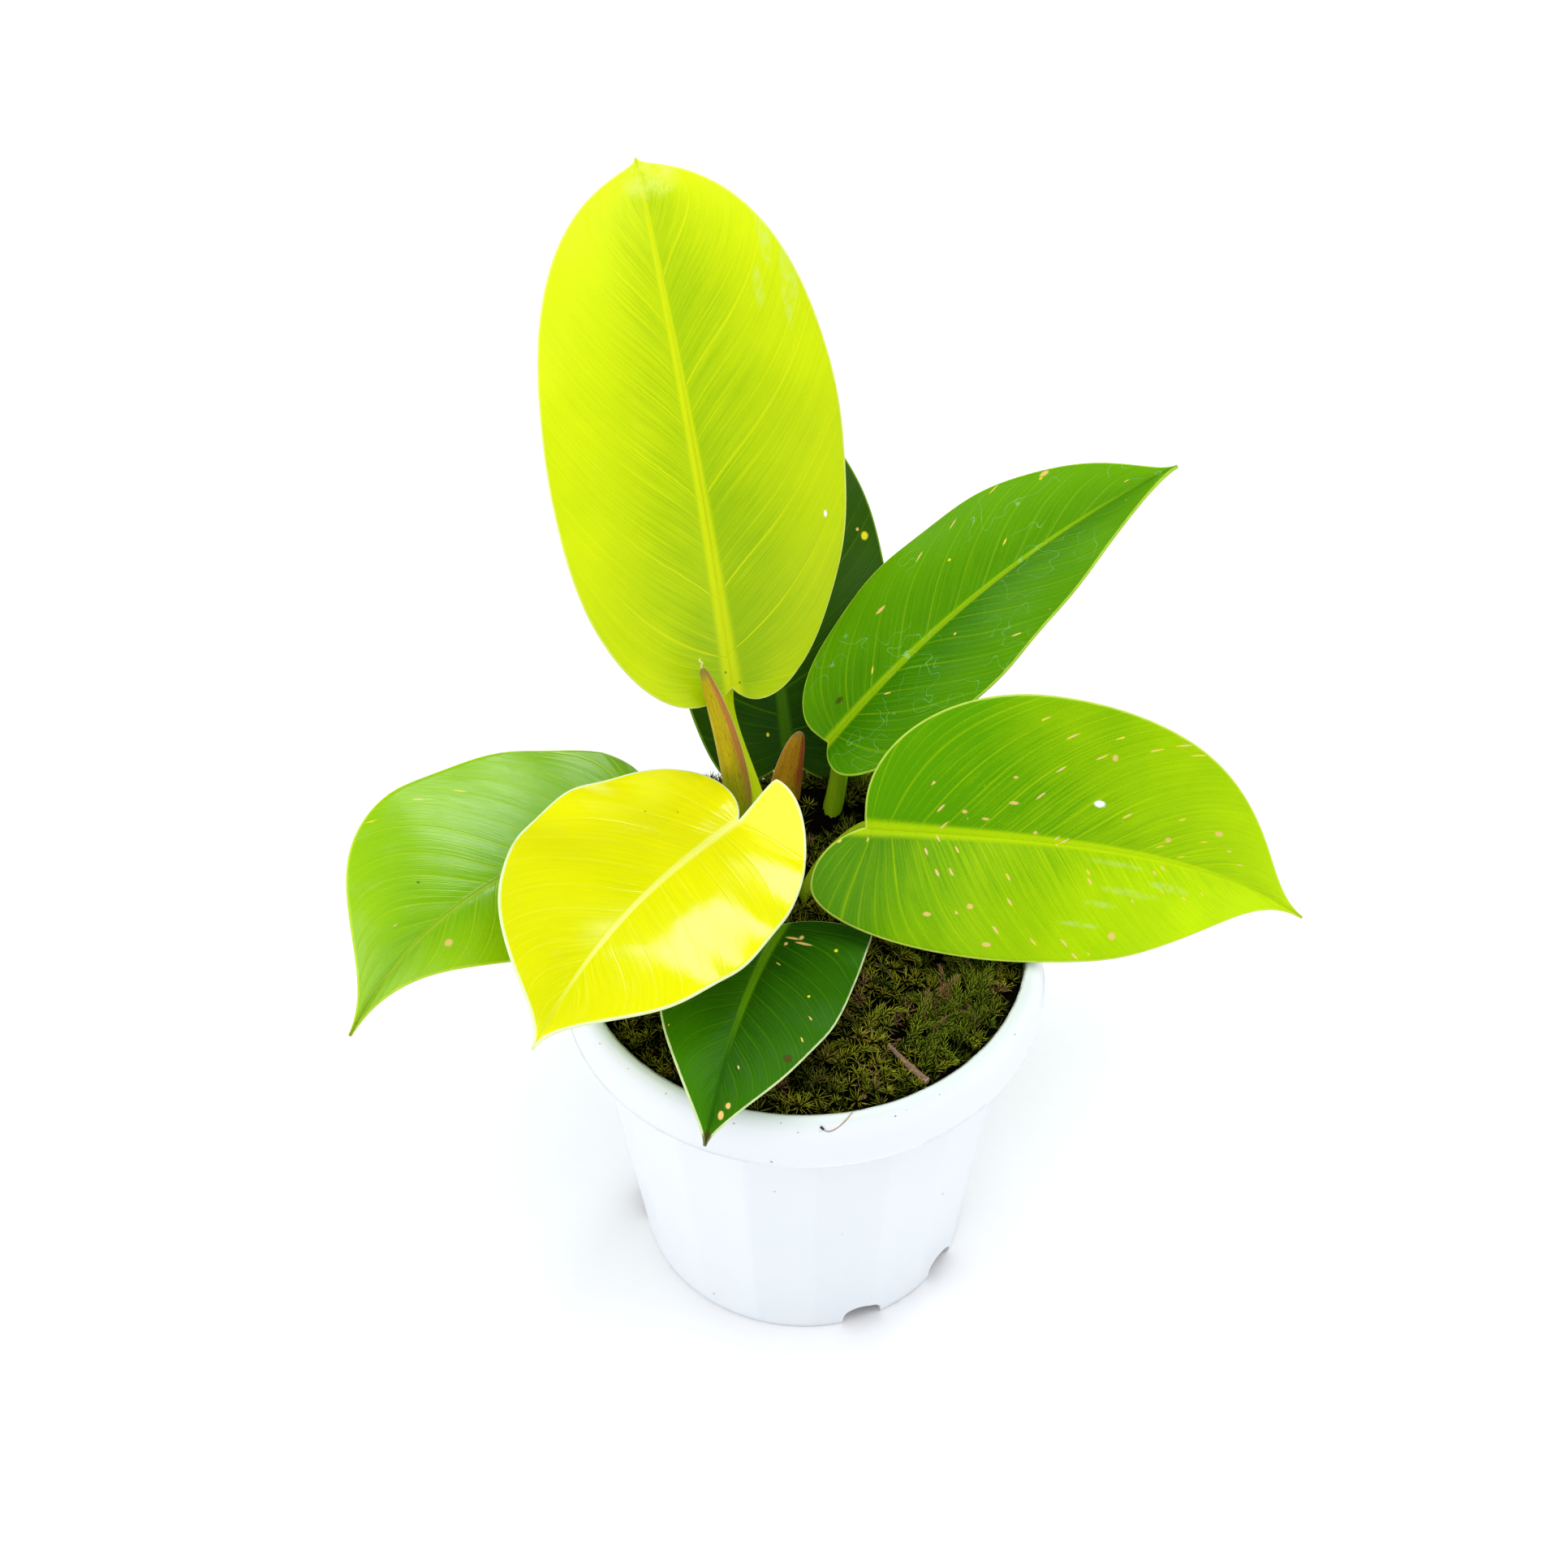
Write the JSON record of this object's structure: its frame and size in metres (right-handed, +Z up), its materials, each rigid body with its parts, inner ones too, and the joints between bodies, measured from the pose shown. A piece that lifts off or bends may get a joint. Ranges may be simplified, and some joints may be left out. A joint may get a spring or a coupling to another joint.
{
  "type": "potted moonlight philodendron",
  "caption": "Compact philodendron with broad heart-shaped leaves in yellow to dark green, growing from moss in a fluted white nursery pot with a rolled rim.",
  "frame": {"origin": "centre of the pot's flat underside, on the surface it stands on", "axes": "+Z up, front of the pot towards -Y, +X to the right seen from the front"},
  "size_m": [0.287, 0.2789, 0.3319],
  "materials": {
    "pot": "glossy white moulded polypropylene",
    "potting_mix": "rough bark and peat mix",
    "rootstock": "knobbly, matte",
    "moss": "springy, matte",
    "stalk": "smooth, satin",
    "blade_young": "smooth, glossy",
    "blade_yellow": "smooth, glossy",
    "blade_mid": "smooth, glossy",
    "blade_dark": "smooth, glossy",
    "sheath_fresh": "smooth, satin",
    "sheath_dry": "dry, papery",
    "twig": "rough"
  },
  "bodies": {
    "root": {"pot": "pot", "potting_mix": "potting_mix", "rootstock": "rootstock", "moss": "moss", "stalk_tall": "stalk", "stalk_back": "stalk", "stalk_rightUpper": "stalk", "stalk_right": "stalk", "stalk_yellow": "stalk", "stalk_left": "stalk", "stalk_front": "stalk", "blade_tall": "blade_young", "blade_back": "blade_dark", "blade_rightUpper": "blade_mid", "blade_right": "blade_mid", "blade_yellow": "blade_yellow", "blade_left": "blade_mid", "blade_front": "blade_dark", "sheath_tall": "sheath_fresh", "sheath_short": "sheath_dry", "sheath_stub": "sheath_dry", "twig": "twig"}
  },
  "joints": []
}
